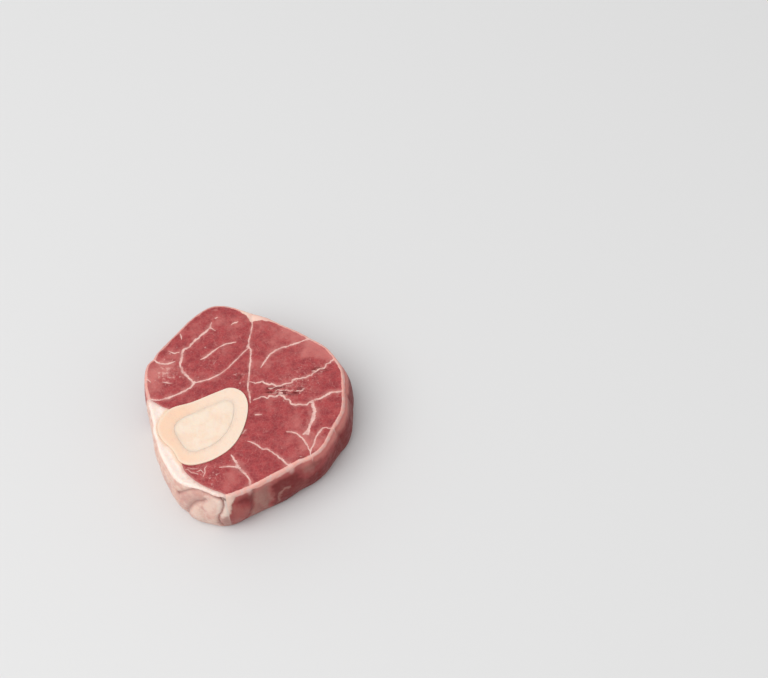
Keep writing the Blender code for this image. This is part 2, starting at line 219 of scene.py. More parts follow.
# Creases in the side wall: the points that each follows (x, y, height), its depth, and its half width
SIDE_CREASES = (
    (((-33.3, -52.3, 21.9), (-28.8, -53.2, 26.3), (-25, -53, 28.4), (-21.6, -53.7, 29.6),
        (-17.3, -54.9, 29.2), (-12.6, -57.3, 28.8), (-8.7, -58.2, 29)), 1.25, 1.2),
    (((-12, -57.5, 28.8), (-10, -57.9, 28.7), (-8.4, -58.1, 28.8)), 0.7, 0.9),
    (((-8.7, -58.2, 30), (-8.8, -58.7, 24.7), (-10, -60, 18.8), (-12, -61.2, 15.4), (-12.3, -60.5, 8),
        (-11.2, -61.4, 3)), 1.3, 0.9),
    (((-18.2, -56.5, 24), (-20, -56.2, 22.4), (-22.9, -55.8, 20.4), (-25.5, -56.2, 17.6),
        (-28, -56.1, 13.6), (-29.8, -54.7, 7.4), (-31, -53, 1)), 1.7, 1.7),
    (((-37, -46.5, 24), (-34.6, -50.6, 23), (-33, -52.3, 20), (-31.5, -53.3, 18.5)), 0.7, 1.4),
    (((-34, -50, 26.5), (-39, -43, 27.6), (-44, -34, 28), (-48.3, -25, 28)), 0.6, 0.9),
    (((-20.5, -58.5, 18), (-20.5, -59.8, 12), (-19.5, -60, 5)), 0.6, 1.4),
    (((-36, -44, 12), (-33, -50.5, 10), (-31, -53, 11)), 0.5, 1.4),
    (((7.5, -53.5, 16), (8.4, -53.3, 9), (10.5, -51, 3)), 0.25, 0.6),
    (((8.4, -53.3, 9), (11.5, -51, 10.5), (12.7, -50.2, 14)), 0.2, 0.6),
    (((-2.2, -58, 29), (-5.2, -60, 21), (-7.4, -60.8, 12), (-6, -60.6, 5)), 0.5, 0.9),
    (((6.2, -53.7, 28), (5.8, -54.8, 22), (5.2, -55.8, 17), (3.4, -57, 12), (-0.5, -58, 3)), 0.9, 1.2),
    (((13, -51, 26), (12, -51.5, 18), (12.5, -51.5, 8)), 0.5, 1.6),
    (((17, -47.6, 8), (17.6, -48.2, 13), (19.3, -47, 18), (24.7, -44, 16.5)), 0.35, 0.6),
    (((-44, -36, 20), (-47, -29, 12), (-50, -20, 4)), 0.7, 1.6),
    (((-52, -8, 29), (-54.5, -6, 16), (-55.5, -4, 4)), 0.8, 1.4),
    (((-46, 37, 29), (-45, 38, 16), (-45, 38.5, 3)), 0.9, 1.6),
    (((-54, 25, 29.5), (-56, 25, 18), (-56, 24.5, 4)), 0.9, 1.3),
    (((-36, 51, 27), (-33, 54, 15), (-34, 53.5, 3)), 0.5, 1.5),
    (((-2, 54.7, 26), (0, 55.5, 18), (3, 55.5, 3)), 1.1, 1.5),
    (((18, 47, 26), (20, 47, 14), (17, 48.5, 3)), 0.6, 1.4),
    (((44, 29, 29), (46, 29.5, 16), (47, 30, 3)), 0.9, 1.5),
    (((51, 5, 28), (54, 6, 16), (56, 8, 3)), 0.5, 1.7),
    (((48, -18, 28), (50, -17, 15), (50, -16, 3)), 0.6, 1.5),
    (((36, -36, 27), (37.5, -35.5, 14), (37, -36, 3)), 0.6, 1.5),
)

# Creases wider than this get less painted shade
CREASE_SHADE_WIDTH = 1.1

# Swellings of single muscles and fat folds in the side wall: middle, reach and height
SIDE_SWELLINGS = (
    ((1, -59.5, 13), 7.5, 1.9),
    ((-16, -60, 13), 6, 1.5),
    ((-24.5, -57.5, 8), 4.5, 0.9),
    ((-33, -51, 16), 6, 0.9),
    ((26, -44, 12), 9, 0.8),
    ((55, 4, 14), 12, 0.3),
    ((51, 25, 17), 11, 1.6),
    ((22, 48, 15), 11, 0.8),
    ((-25, 62, 16), 12, 0.9),
    ((-57, 14, 14), 9, 0.8),
)
NOTCH_SWELLING = ((5, 53, 31), 9, 1.4)

# How far in the upper edge is rounded, at points of the outline
RIM_RADII = (
    ((-56.5, 14), 0.9), ((-45, 38), 0.7), ((-19, 61), 0.7), ((2, 53.5), 1.2), ((29, 40), 0.8),
    ((46, 25), 1.0), ((51, 0), 1.0), ((42, -29), 1.1), ((20, -45), 1.3), ((0, -56.5), 1.4),
    ((-8, -58.8), 1.3), ((-14, -57.2), 1.3), ((-20, -54.8), 1.3), ((-27, -52.6), 1.6), ((-33, -50), 2.2),
    ((-41, -40), 2.8), ((-49, -19), 2.8), ((-53.5, -3), 2.0),
)

# How wide the pale edge of the upper face is, at points of the outline
LIPS = (
    ((-56.5, 14), 0.3), ((-45, 38), 0.2), ((-19, 61), 0.2), ((0, 54), 1.2), ((20, 45), 0.4),
    ((46, 25), 0.6), ((51, 0), 0.5), ((44, -25), 0.45), ((36, -35.5), 0.5), ((20, -45), 1.2),
    ((8, -52.5), 1.45), ((-3, -58.2), 1.2), ((-8, -58.8), 1.1),
)


class Patch(NamedTuple):
    """A part of the side wall with its own look: what the materials read, how much, how softly, and where."""

    field: str
    amount: float
    soft: float
    outline: tuple


# Some of these patches are painted shade and painted light, as marked below
WALL_PATCHES = (
    Patch("pale", 1.0, 1.6, ((-13, -60, 31), (-1.6, -56.8, 31.3), (-2.4, -57.6, 29.9), (-3.6, -58.6, 26.5),
        (-5, -59.6, 22), (-6.1, -60.8, 17.6), (-7.6, -61.4, 14.5), (-13, -61, 15))),
    Patch("haze", 0.85, 1.8, ((-12.5, -61, 15), (-8, -61.6, 15.5), (-6.4, -61, 10), (-7, -59.5, 4),
        (-8.5, -58.9, 0), (-13, -61, 0))),
    # The top of the muscle's bulge under the rim: painted shade
    Patch("dark", 0.85, 2.2, ((-0.2, -57, 30.5), (5.6, -54, 30.5), (5.6, -54.8, 20), (1.6, -57, 22),
        (-1.6, -58, 25))),
    Patch("haze", 0.3, 2.4, ((-5, -59.5, 22), (-1, -58.5, 21), (4, -56.5, 17), (2.4, -57.4, 10),
        (-1, -58, 3), (-6, -60, 3), (-6.4, -61, 12))),
    Patch("haze", 0.72, 1.6, ((6.3, -53.6, 31), (15.5, -49.4, 31), (13.9, -49.8, 22), (14.6, -49.8, 14),
        (12.7, -50.2, 9), (12, -50, 1), (0.2, -55.7, 1), (3.5, -57.3, 10), (5.3, -55.7, 17),
        (6, -54.8, 22))),
    Patch("haze", 0.9, 1.2, ((8.6, -53.6, 15.6), (10.9, -51.9, 15), (12.3, -50.2, 13), (12, -50.5, 8),
        (10.5, -51.5, 4), (8.8, -52.5, 6))),
    Patch("dark", 1.0, 1.6, ((15.4, -48.8, 25.5), (20, -46, 27), (27.4, -42, 25), (30, -40, 16),
        (27, -41, 0), (13.3, -48, 0), (14.6, -49.8, 14))),
    Patch("haze", 0.75, 0.5, ((16.2, -48, 6), (17, -48.2, 12.5), (18.2, -47.7, 15.9), (20.9, -46.2, 17.6),
        (24, -44.4, 17.2), (24, -44.4, 16.2), (21.2, -46, 16.4), (18.9, -47.5, 14.4), (18, -48, 11.8),
        (17.2, -47.8, 6))),
    # The lower part of the right wall: darker meat with painted shade
    Patch("dark", 1.0, 3, ((28, -41, 14), (38, -34, 17), (47, -21, 19.5), (51, -12, 21), (53.5, -3, 22),
        (54, 8, 22), (52, 20, 22), (49, 30, 20), (50, 31, 0), (57, 10, 0), (56, -8, 0), (44, -30, 0),
        (27, -42, 0))),
    Patch("haze", 0.35, 2, ((28, -40.2, 30), (38, -34, 30), (38, -34.5, 22), (31, -39.5, 21))),
    Patch("pale", 0.75, 3.2, ((-11, 62, 34), (19, 51, 34), (12, 54, 25), (7, 57, 17), (3, 58, 3),
        (0, 58, 3), (-2, 59, 16), (-6, 60, 25))),
    Patch("haze", 0.45, 4, ((-12, 62, 28), (22, 50, 28), (14, 54, 10), (8, 56, 2), (-3, 59, 2),
        (-8, 60, 14))),
    Patch("haze", 0.45, 2.5, ((46, -22, 31), (51, -8, 31), (51, 4, 31), (50, 18, 31), (51, 18, 24),
        (54, -2, 24), (51, -12, 23), (46, -22, 22))),
    # A band under the rim of the right wall: pinker, partly painted light
    Patch("blush", 1.0, 3.2, ((46, 25, 33), (51, 10, 33), (51.5, -8, 33), (47, -20, 33), (40, -32, 33),
        (31, -39, 33), (32, -39.5, 28), (40, -32, 25.5), (47, -21, 24.5), (51.5, -11, 25), (54, 0, 25.5),
        (53, 18, 24), (48, 26, 24))),
    Patch("raw", 1.0, 1.6, ((-13.5, -61, 8), (-11.5, -61, 13), (-8, -61.6, 15), (-5, -61, 10),
        (-6, -59.5, 0), (-12, -61, 0))),
    Patch("pale", 0.7, 1.5, ((-55, -6, 2), (-56, 0, 2), (-55.5, 3, 12), (-53.6, -1, 26), (-52.5, -4, 30))),
    Patch("haze", 0.7, 2.5, ((-57, 24, 30), (-50, 33, 30), (-50, 34, 16), (-57, 26, 12))),
    # On the fat: a hollow under the crease, its mauve partly painted shade
    Patch("haze", 0.8, 1.8, ((-34, -50.5, 24), (-30, -53, 26), (-21.8, -55.1, 28.4), (-18.4, -55.8, 26),
        (-19.5, -56, 22), (-22.9, -55.8, 19), (-29, -55, 17))),
    Patch("haze", 0.4, 2.4, ((-31, -53, 22), (-38, -45, 23), (-44, -34, 18), (-43, -36, 4), (-33, -51, 1),
        (-29.5, -54, 10))),
    # Along the foot of the fat: its mauve partly painted shade
    Patch("haze", 0.55, 1.6, ((-31, -53, 4), (-25, -56.7, 3.5), (-18.6, -58.8, 3), (-12, -61, 9),
        (-10.5, -61.5, 9), (-11, -62, 0), (-31, -53, 0))),
    Patch("pale", 0.4, 1.4, ((-18.6, -55.3, 28.6), (-14.3, -57, 28), (-10.2, -58.1, 28), (-9.8, -59, 23),
        (-14, -59.3, 15), (-18.5, -58.6, 15), (-20.1, -56.7, 21), (-18.4, -56, 24.5))),
    Patch("pale", 0.5, 2, ((-28, -55, 11), (-24, -57, 14.5), (-21.5, -58.5, 13), (-22, -58.5, 7),
        (-27, -56, 6))),
)

# Muscles that are paler, above 0, or deeper red, below it, and one spot of painted light: middle, reach and
# amount
TONES = (
    # The strong pale spot at the far left edge, at (-54, 14), is painted light from the left
    ((40, 30), 10, 1.1), ((21, 42), 8, 1.0), ((6, 48.5), 7, 0.7), ((-54, 14), 8, 1.5), ((-47, 18), 9, 0.3),
    ((46, 8), 8, -0.25), ((43, -14), 6, -0.3), ((-31, 30), 7, -0.4), ((-24, 36), 8, 0.1),
    ((-22, -45), 6, 0.55), ((-7, -49), 8, 0.5), ((20, 22), 10, 0.1), ((12, -14), 12, -0.1),
    ((-12, 22), 9, 0.4), ((8, 33), 9, 0.4), ((36, -8), 6, 0.5), ((18, -28), 9, 0.3), ((-18, 50), 10, 0.4),
    ((-40, 6), 6, -0.3), ((34, -26), 6, 0.5),
)

# Muscles strewn with pale flecks: middle, reach and amount
FLECKED = (
    ((-46, 16), 8, 2.2), ((-16, -48), 7, 1.3), ((28, 12), 9, 1.2), ((-5, 12), 5, 1.4), ((-22, 22), 9, 0.9),
    ((20, 3), 8, 1.3), ((-25, -44), 5, 0.6), ((-44, 30), 6, 0.6), ((34, -26), 6, 0.5), ((-4, -24), 4, 0.6),
)

# Torn flesh: middle, half length and half width, and amount
TORN_PLACES = (
    ((19.5, 4.6), (13.0, 3.4), 1.0),
    ((37.5, 18.0), (5.0, 2.2), 0.8),
    ((-7.0, 13.5), (4.0, 2.4), 0.6),
    ((31.0, -36.0), (4.0, 1.2), 0.6),
)
TORN_DEPTH = 1.5
TORN_LEAST = 0.45
TORN_EDGE = (0.6, 1.05)
TORN_RAGGED = 0.3
FIBRE_STRETCH = (0.4, 1.0)

# Relief of the upper face: what it follows, how far from it, how high, and its half width
FACE_RELIEF = (
    ("seam", 0, -0.38, 0.85),
    ("rim", 0, 0.1, 1.1),
    ("rim", 2.4, -0.22, 1.4),
    ("bone", 0, -0.22, 0.7),
    ("cut", 0, -0.12, 0.5),
)

# Fine lumps of the upper face: height, size and seed; and how far they are lowered there and on the side wall
FACE_LUMPS = ((0.09, 3.4, 11), (0.06, 1.5, 12))
FACE_LOWERED = 0.1
WALL_LOWERED = 0.12
WALL_STRETCH = (1, 0.6)

# Saw marks across the bone: how far apart, how deep, and which way they run
SAW_PITCH = 1.3
SAW_DEPTH = 0.02
SAW_WAY = (0.5, 0.87)

# Seams: size of their bends, how wide their ends are and how soon they are full, how uneven they are, how far
# off they are looked for, and what stands for none
SEAM_WANDER = 1.7
SEAM_END = 0.4
SEAM_TAPER = 4.0
SEAM_UNEVEN = 0.45
SEAM_REACH = 8.0
NO_SEAM = 6.0

# Creases: how far they wander, how soft they are, the depth at which their painted shade is full, and over
# what height they fade at the foot and under the rim
CREASE_WANDER = 0.45
CREASE_SOFTNESS = 0.6
CREASE_SHADE_FULL = 1.5
CREASE_FOOT = 3
CREASE_TOP = (0.1, 1.5)

# Shares of the height over which swellings fade, and over how many points values blur along the outline
SWELLING_FOOT = 0.25
SWELLING_TOP = 0.15
OUTLINE_BLUR = 6

# How far the look of the upper face reaches down the wall, and how round the edge is for the materials
TONE_REACH = 9
EDGE_ROUND = 0.3

# The most that distances say: to the rim, and to other lines
RIM_FAR = 20
FAR = 9

# What the materials read at each point, and what it is where nothing else is said
FIELD_DEFAULTS = {
    "seam": NO_SEAM, "rim": -RIM_FAR, "cut": FAR, "bone": FAR, "torn": 0, "pale": 0, "haze": 0, "deep": 0,
    "dark": 0, "tone": 0, "around": 0, "lip": 0, "flecked": 0, "raw": 0, "blush": 0,
}


def smooth_path(points, step, loop=True):
    """A Catmull-Rom curve through the points, read at even steps."""
    points = np.array(points, float)
    if loop:
        knots = np.vstack([points[-1:], points, points[:2]])
    else:
        knots = np.vstack([2 * points[0] - points[1], points, 2 * points[-1] - points[-2]])
    fractions = np.linspace(0, 1, CURVE_SAMPLES, endpoint=False)[:, None]
    dense = []
    for p0, p1, p2, p3 in zip(knots, knots[1:], knots[2:], knots[3:]):
        linear = (p2 - p0) * fractions
        square = (2 * p0 - 5 * p1 + 4 * p2 - p3) * fractions**2
        cube = (3 * p1 - p0 - 3 * p2 + p3) * fractions**3
        dense.append(p1 + 0.5 * (linear + square + cube))
    dense = np.vstack(dense + [points[:1] if loop else points[-1:]])
    along = np.append(0, np.cumsum(lengths(np.diff(dense, axis=0))))
    places = np.linspace(0, along[-1], max(2, round(along[-1] / step)) + 1)
    if loop:
        places = places[:-1]
    return np.column_stack([np.interp(places, along, dense[:, axis]) for axis in range(points.shape[1])])


def outward(ring):
    """Unit normals of a clockwise ring, pointing away from its inside."""
    tangent = np.roll(ring, -1, axis=0) - np.roll(ring, 1, axis=0)
    normal = np.column_stack([-tangent[:, 1], tangent[:, 0]])
    return normal / np.linalg.norm(normal, axis=1, keepdims=True)


def lengths(vectors):
    return np.linalg.norm(vectors, axis=1)


def grown(ring, distance):
    return ring + outward(ring) * distance


def closed(ring):
    return np.vstack([ring, ring[:1]])


def column(values, height):
    return np.column_stack([values, np.full(len(values), height)])


def lattice_noise(points, size, seed):
    """Smooth noise from -1 to 1: seeded random values on a lattice of that cell size."""
    side = 32
    values = np.random.default_rng(seed).uniform(-1, 1, (side, side, side))
    if points.shape[1] == 2:
        points = column(points, 0)
    cell = points / size
    base = np.floor(cell).astype(int)
    part = cell - base
    part = part * part * (3 - 2 * part)
    total = np.zeros(len(points))
    for corner in np.ndindex(2, 2, 2):
        weight = np.prod(np.where(corner, part, 1 - part), axis=1)
        i, j, k = ((base + corner) % side).T
        total += weight * values[i, j, k]
    return total


def layered_noise(points, size, seed, layers=3):
    """Lattice noise with finer layers on it, each half as large and half as strong."""
    total = sum(lattice_noise(points, size / 2**n, seed + n) / 2**n for n in range(layers))
    return total / (2 - 0.5 ** (layers - 1))


def shake(points, size, *seeds):
    """Noises side by side, to move the points by."""
    return np.column_stack([lattice_noise(points, size, seed) for seed in seeds])


def segment_distances(points, path):
    """Distance of each point to one segment of the path after another."""
    for start, end in zip(path, path[1:]):
        along = end - start
        share = np.clip((points - start) @ along / (along @ along), 0, 1)
        yield lengths(points - start - share[:, None] * along)


def within_box(points, path, reach):
    """Whether each point lies in the path's box, grown by reach."""
    return np.all((points > path.min(axis=0) - reach) & (points < path.max(axis=0) + reach), axis=1)


def to_path(points, path, reach=np.inf):
    """Distance of each point to an open path; beyond reach it isn't worked out."""
    best = np.full(len(points), np.inf)
    near = within_box(points, path, reach)
    least = best[near]
    for found in segment_distances(points[near], path):
        least = np.minimum(least, found)
    best[near] = least
    return best


def inside(points, ring):
    """Whether each point lies in the ring."""
    within = np.zeros(len(points), bool)
    for (x0, y0), (x1, y1) in zip(ring, np.roll(ring, -1, axis=0)):
        crosses = (y0 > points[:, 1]) != (y1 > points[:, 1])
        if crosses.any():
            at = x0 + (points[:, 1] - y0) * (x1 - x0) / (y1 - y0)
            within ^= crosses & (points[:, 0] < at)
    return within


def clear_of(points, lines, gap):
    """The points that lie further than the gap from every line."""
    for line in lines:
        points = points[to_path(points, line, reach=gap) > gap]
    return points


def soft_step(values, low, high):
    share = np.clip((values - low) / (high - low), 0, 1)
    return share * share * (3 - 2 * share)


def bump(distance, reach):
    return np.exp(-((distance / reach) ** 2))


def spots(points, places):
    """The sum of soft round spots, each given by its middle, reach and amount."""
    return sum(amount * bump(lengths(points - middle), reach) for middle, reach, amount in places)


def soft_region(points, outline, edge, seed, ragged=0.5):
    """1 inside the outline and 0 outside it, with an uneven edge that wide."""
    outline = np.array(outline, float)
    shaken = points + ragged * shake(points, 2.0, seed, seed + 1)
    apart = to_path(shaken, closed(outline))
    return soft_step(np.where(inside(shaken, outline), apart, -apart), -edge, edge)


def foot_of(ring):
    """The outline at the underside, which leans out from the upper one."""
    foot = ring.copy()
    for centre, shift, width in FOOT_LEANS:
        square = ((ring - centre) ** 2).sum(axis=1)
        foot += np.exp(-square / (2 * width**2))[:, None] * np.array(shift, float)
    return foot


def nearest_to(ring, point):
    return int(lengths(ring - point).argmin())


def along_outline(named):
    """Values named at points of the outline, and between them along it."""
    places = np.array([nearest_to(top_ring, point) for point, _ in named])
    order = places.argsort()
    values = np.array([value for _, value in named])[order]
    filled = np.interp(np.arange(ring_count), places[order], values, period=ring_count)
    return np.mean([np.roll(filled, shift) for shift in range(-OUTLINE_BLUR, OUTLINE_BLUR + 1)], axis=0)


def outline_at(height):
    return foot_ring + (top_ring - foot_ring) * (height / THICKNESS)


def on_wall(points):
    """Where points lie on the unrolled side wall: how far round from the left, and how high."""
    nearest = [nearest_to(outline_at(height), (x, y)) for x, y, height in points]
    return [(index * ring_step, height) for index, (_, _, height) in zip(nearest, points)]


def seam_lines():
    """Each seam read finely as (path, half width at each segment), a little uneven."""
    for number, seam in enumerate(SEAMS):
        path = smooth_path(seam.path, SEAM_STEP, loop=False)
        path = path + shake(path, SEAM_WANDER, 40 + number, 90 + number) * seam.ragged
        middle = (path[1:] + path[:-1]) / 2
        along = np.arange(len(middle)) * SEAM_STEP
        taper = np.clip(SEAM_END + np.minimum(along, along[::-1]) / SEAM_TAPER, 0, 1)
        yield path, seam.half * taper * (1 + SEAM_UNEVEN * lattice_noise(middle, 3.0, 140 + number))


def crease_lines():
    """Each crease of the side wall as (wandering line on the unrolled wall, depth, half width)."""
    for path, depth, width in SIDE_CREASES:
        line = smooth_path(on_wall(path), CREASE_STEP, loop=False)
        yield line + CREASE_WANDER * shake(line, 2.5, 21, 22), depth, width


top_ring = smooth_path(FACE_OUTLINE, WALL_STEP)
foot_ring = foot_of(top_ring)
ring_count = len(top_ring)
ring_step = lengths(np.diff(closed(top_ring), axis=0)).mean()
lips = along_outline(LIPS)
seams = list(seam_lines())
creases = list(crease_lines())
patches = [(patch, on_wall(patch.outline)) for patch in WALL_PATCHES]


def seam_fields(points):
    """Distance to the nearest seam in mm, and in half widths of that seam."""
    apart = np.full(len(points), SEAM_REACH)
    ratio = np.full(len(points), NO_SEAM)
    for path, half in seams:
        near = within_box(points, path, SEAM_REACH)
        for found, width in zip(segment_distances(points[near], path), half):
            apart[near] = np.minimum(apart[near], found)
            ratio[near] = np.minimum(ratio[near], found / width)
    for centre, reach in KNOTS:
        ratio = np.minimum(ratio, lengths(points - centre) / reach)
    return apart, ratio


def torn(points):
    """How torn the flesh is at each point of the upper face, from 0 to 1."""
    share = np.zeros(len(points))
    for middle, reach, amount in TORN_PLACES:
        edge = lengths((points - middle) / reach) + TORN_RAGGED * lattice_noise(points, 2.6, 7)
        share = np.maximum(share, amount * (1 - soft_step(edge, *TORN_EDGE)))
    return share


def face_height(points, distances):
    """Height of the upper face: muscles swell, seams sink, and the rim stands up a little."""
    height = TOP_HEIGHT + MUSCLE_SWELL * (1 - bump(distances["seam"], MUSCLE_REACH))
    for name, away, rise, width in FACE_RELIEF:
        height += rise * bump(distances[name] - away, width)
    height += WAVE_HEIGHT * np.sin(points[:, 0] / WAVE_REACH[0]) * np.cos(points[:, 1] / WAVE_REACH[1])
    height += sum(rise * layered_noise(points, size, seed) for rise, size, seed in FACE_LUMPS) - FACE_LOWERED
    fibres = layered_noise(points * FIBRE_STRETCH, 1.5, 13)
    height -= torn(points) * (TORN_LEAST + (1 - TORN_LEAST) * fibres) * TORN_DEPTH
    return np.minimum(height, THICKNESS - FLESH_SUNK)


def creased(places, heights):
    """How deep the creases cut into the side wall at places on it, and how much painted shade they get."""
    depths = crease_shade = np.zeros(len(places))
    for line, depth, width in creases:
        apart = to_path(places, line, reach=4 * width)
        sharp = np.exp(-apart / width)
        cut = depth * (CREASE_SOFTNESS * bump(apart, width) + (1 - CREASE_SOFTNESS) * sharp)
        depths = depths + cut
        crease_shade = crease_shade + cut * min(1, CREASE_SHADE_WIDTH / width)
    fade = np.minimum(1, heights / CREASE_FOOT) * soft_step(TOP_HEIGHT - heights, *CREASE_TOP)
    return depths * fade, crease_shade * fade


def wall_relief(places, points):
    """How far the side wall stands out, from its bulge, swellings, creases and fine lumps."""
    height = places[0, 1]
    share = height / THICKNESS
    relief = SIDE_SWELL * math.sin(math.pi * share)
    relief += spots(points, SIDE_SWELLINGS) * min(1, share / SWELLING_FOOT, (1 - share) / SWELLING_TOP)
    relief += spots(points, [NOTCH_SWELLING]) - creased(places, points[:, 2])[0]
    lumps = 0.10 * layered_noise(places * WALL_STRETCH, 3.0, 31) + 0.05 * lattice_noise(places, 1.1, 34)
    return relief + (lumps - WALL_LOWERED) * min(1, height / 2)


def wall_rings():
    """Points up the side wall, ring by ring from the foot, with their places on the unrolled wall."""
    bone_line = closed(smooth_path(BONE_OUTLINE, CUT_STEP))
    extra_inset = np.minimum(along_outline(RIM_RADII), to_path(top_ring, bone_line) - BONE_COVER) - RIM_RADIUS
    tuck = np.clip(to_path(foot_ring, bone_line) - FOOT_RADIUS - BONE_COVER, 0, FOOT_TUCK)
    straight = np.arange(FOOT_RADIUS + WALL_RISE, TOP_HEIGHT - RIM_HEIGHT - WALL_RISE / 2, WALL_RISE)
    rising = [(1 - math.sin(turn), 1 - math.cos(turn)) for turn in TURNS]
    sections = [(FOOT_RADIUS * less, FOOT_RADIUS * more) for less, more in rising]
    sections += [(0, height) for height in straight]
    sections += [(RIM_RADIUS * more, TOP_HEIGHT - RIM_HEIGHT * less) for less, more in rising]
    rings, places = [], []
    for inset, height in sections:
        ring = outline_at(height)
        place = column(np.arange(ring_count) * ring_step, height)
        points = column(ring, height)
        out = wall_relief(place, points) - inset - tuck * bump(height, TUCK_REACH)
        out -= extra_inset * bump(TOP_HEIGHT - height, RIM_REACH)
        points[:, :2] += outward(ring) * out[:, None]
        rings.append(points)
        places.append(place)
    return rings, places


def grid_points(ring, step):
    """Staggered rows of points over a ring's box."""
    low, high = ring.min(axis=0), ring.max(axis=0)
    rows = []
    for row, y in enumerate(np.arange(low[1], high[1], step * math.sqrt(0.75))):
        rows.append(column(np.arange(low[0] + (row % 2) * step / 2, high[0], step), y))
    return np.vstack(rows)


def thinned(points, least):
    """Leaves out each point that lies too near an earlier one."""
    cells, kept = {}, []
    for point in points:
        across, row = int(point[0] // least), int(point[1] // least)
        beside = [(across + i, row + j) for i in (-1, 0, 1) for j in (-1, 0, 1)]
        if all(math.dist(point, other) >= least for cell in beside for other in cells.get(cell, ())):
            cells.setdefault((across, row), []).append(point)
            kept.append(point)
    return np.array(kept)


def triangulated(points, borders, outer):
    """Triangles inside the outer ring of points, with the borders kept as edges."""
    vectors = [Vector(point) for point in points]
    _, _, triangles, found, _, _ = delaunay_2d_cdt(vectors, borders, [list(range(outer))], 1, 1e-5)
    original = np.array([old[0] for old in found])
    return original[np.array(triangles)]


def chain(indices, loop=False):
    """Borders from each of the points to the next."""
    ends = indices[1:] + indices[:1] if loop else indices[1:]
    return list(zip(indices, ends))


def quads(lower, upper, loop):
    """Two triangles for each pair of neighbours in two rows of points."""
    if loop:
        lower, upper = np.append(lower, lower[0]), np.append(upper, upper[0])
    first = np.column_stack([lower[:-1], lower[1:], upper[1:]])
    second = np.column_stack([lower[:-1], upper[1:], upper[:-1]])
    return np.vstack([first, second])


class Cloud:
    """The points of a piece, in blocks, with what each block knows of its points."""

    def __init__(self):
        self.blocks = []
        self.fields = {name: [] for name in FIELD_DEFAULTS}
        self.count = 0

    def add(self, points, **fields):
        """Takes in points and returns their numbers."""
        self.blocks.append(points)
        for name, default in FIELD_DEFAULTS.items():
            values = fields.get(name, default)
            self.fields[name].append(np.broadcast_to(values, len(points)).astype(float))
        self.count += len(points)
        return np.arange(self.count - len(points), self.count)

    def joined(self):
        return np.vstack(self.blocks), {name: np.concatenate(parts) for name, parts in self.fields.items()}


def face_fields(points, rim, bone_ring, cuts):
    """Distances on the upper face, and what the materials read there."""
    seam_apart, ratio = seam_fields(points)
    distances = {
        "seam": seam_apart,
        "rim": to_path(points, closed(rim)),
        "bone": to_path(points, closed(bone_ring)),
        "cut": np.minimum(*(to_path(points, cut) for cut in cuts)),
    }
    looks = {
        "seam": ratio,
        "rim": np.minimum(distances["rim"], RIM_FAR),
        "torn": torn(points),
        "pale": soft_region(points, NOTCH, 0.4, 51),
        "tone": spots(points, TONES),
        "flecked": spots(points, FLECKED),
        "cut": np.minimum(distances["cut"], FAR),
        "bone": np.minimum(distances["bone"], FAR),
        # Painted shade in the gap beside the bone
        "deep": 0.12 * bump(distances["bone"], 0.5),
    }
    return distances, looks


def wall_looks(ring, place, rim_looks):
    """What the materials read on one ring of the side wall."""
    below = TOP_HEIGHT - ring[:, 2]
    looks = {
        "rim": -np.hypot(below, EDGE_ROUND),
        # Painted shade in the creases
        "deep": creased(place, ring[:, 2])[1] / CREASE_SHADE_FULL,
        "around": place[:, 0],
        "lip": lips,
        "cut": np.hypot(rim_looks["cut"], below / 2),
        "tone": rim_looks["tone"] * bump(below, TONE_REACH),
        "seam": np.hypot(rim_looks["seam"], below / 3),
    }
    for patch, outline in patches:
        share = patch.amount * soft_region(place, outline, patch.soft, 71, ragged=0.9)
        looks[patch.field] = np.maximum(looks.get(patch.field, 0), share)
    return looks


def cut_path(edge, rim_point, bone_point):
    """The border between fat and meat on the upper face, from the rim to the bone."""
    return smooth_path([rim_point, *edge[1:-1], bone_point], CUT_STEP, loop=False)


def eased(cut):
    """1 at the rim's end of a cut and 0 at the bone."""
    return np.linspace(1, 0, len(cut))[:, None] ** 2


def fat_outline(rim, bone_ring, cuts, ends):
    """The outline of the fat on a face, from the left end of its upper edge."""
    (upper_end, upper_bone), (lower_end, lower_bone) = ends
    arc = np.vstack([bone_ring[:upper_bone + 1][::-1], bone_ring[lower_bone:][::-1]])
    return np.vstack([cuts[0], arc, cuts[1][::-1], rim[lower_end:upper_end + 1]])


def face_points(rim, bone_ring, cuts):
    """Points of the upper face between its borders: along the seams, beside them and in a grid."""
    lined = []
    for path, _ in seams:
        across = np.gradient(path, axis=0)[:, ::-1] * (-1, 1)
        across *= SEAM_SIDE / np.linalg.norm(across, axis=1, keepdims=True)
        lined += [path, path + across, path - across]
    grid = grid_points(rim, FACE_STEP)
    grid = grid[seam_fields(grid)[0] > GRID_GAP]
    points = np.vstack([thinned(np.vstack(lined), LEAST_STEP), grid])
    points = points[inside(points, rim) & ~inside(points, bone_ring)]
    return clear_of(points, (closed(rim), closed(bone_ring), *cuts), BORDER_GAP)


def underside_points(foot, bone_ring, cuts):
    grid = grid_points(foot, UNDERSIDE_STEP)
    grid = grid[inside(grid, foot) & ~inside(grid, bone_ring)]
    return clear_of(grid, (closed(foot), closed(bone_ring), *cuts), GRID_GAP)


def parts_of(values, bone_ring, cuts):
    """What belongs to the rim, the bone, each cut and the rest of a face, in the order of its points."""
    return np.split(values, np.cumsum([ring_count, len(bone_ring), *(len(cut) - 2 for cut in cuts)]))


def flat_face(plane, numbers, bone_ring, cuts, ends):
    """Triangles of a face, whether each is fat, and its points along the bone and along each cut."""
    _, bones, *between, _ = parts_of(np.arange(len(plane)), bone_ring, cuts)
    borders = chain(bones.tolist(), loop=True)
    rows = []
    for middle, (i, j) in zip(between, ends):
        row = [i, *middle.tolist(), ring_count + j]
        borders += chain(row)
        rows.append(numbers[row])
    triangles = triangulated(plane, borders, ring_count)
    triangles = triangles[~inside(plane[triangles].mean(axis=1), bone_ring)]
    is_fat = inside(plane[triangles].mean(axis=1), fat_outline(plane[:ring_count], bone_ring, cuts, ends))
    return numbers[triangles], is_fat, numbers[bones], rows


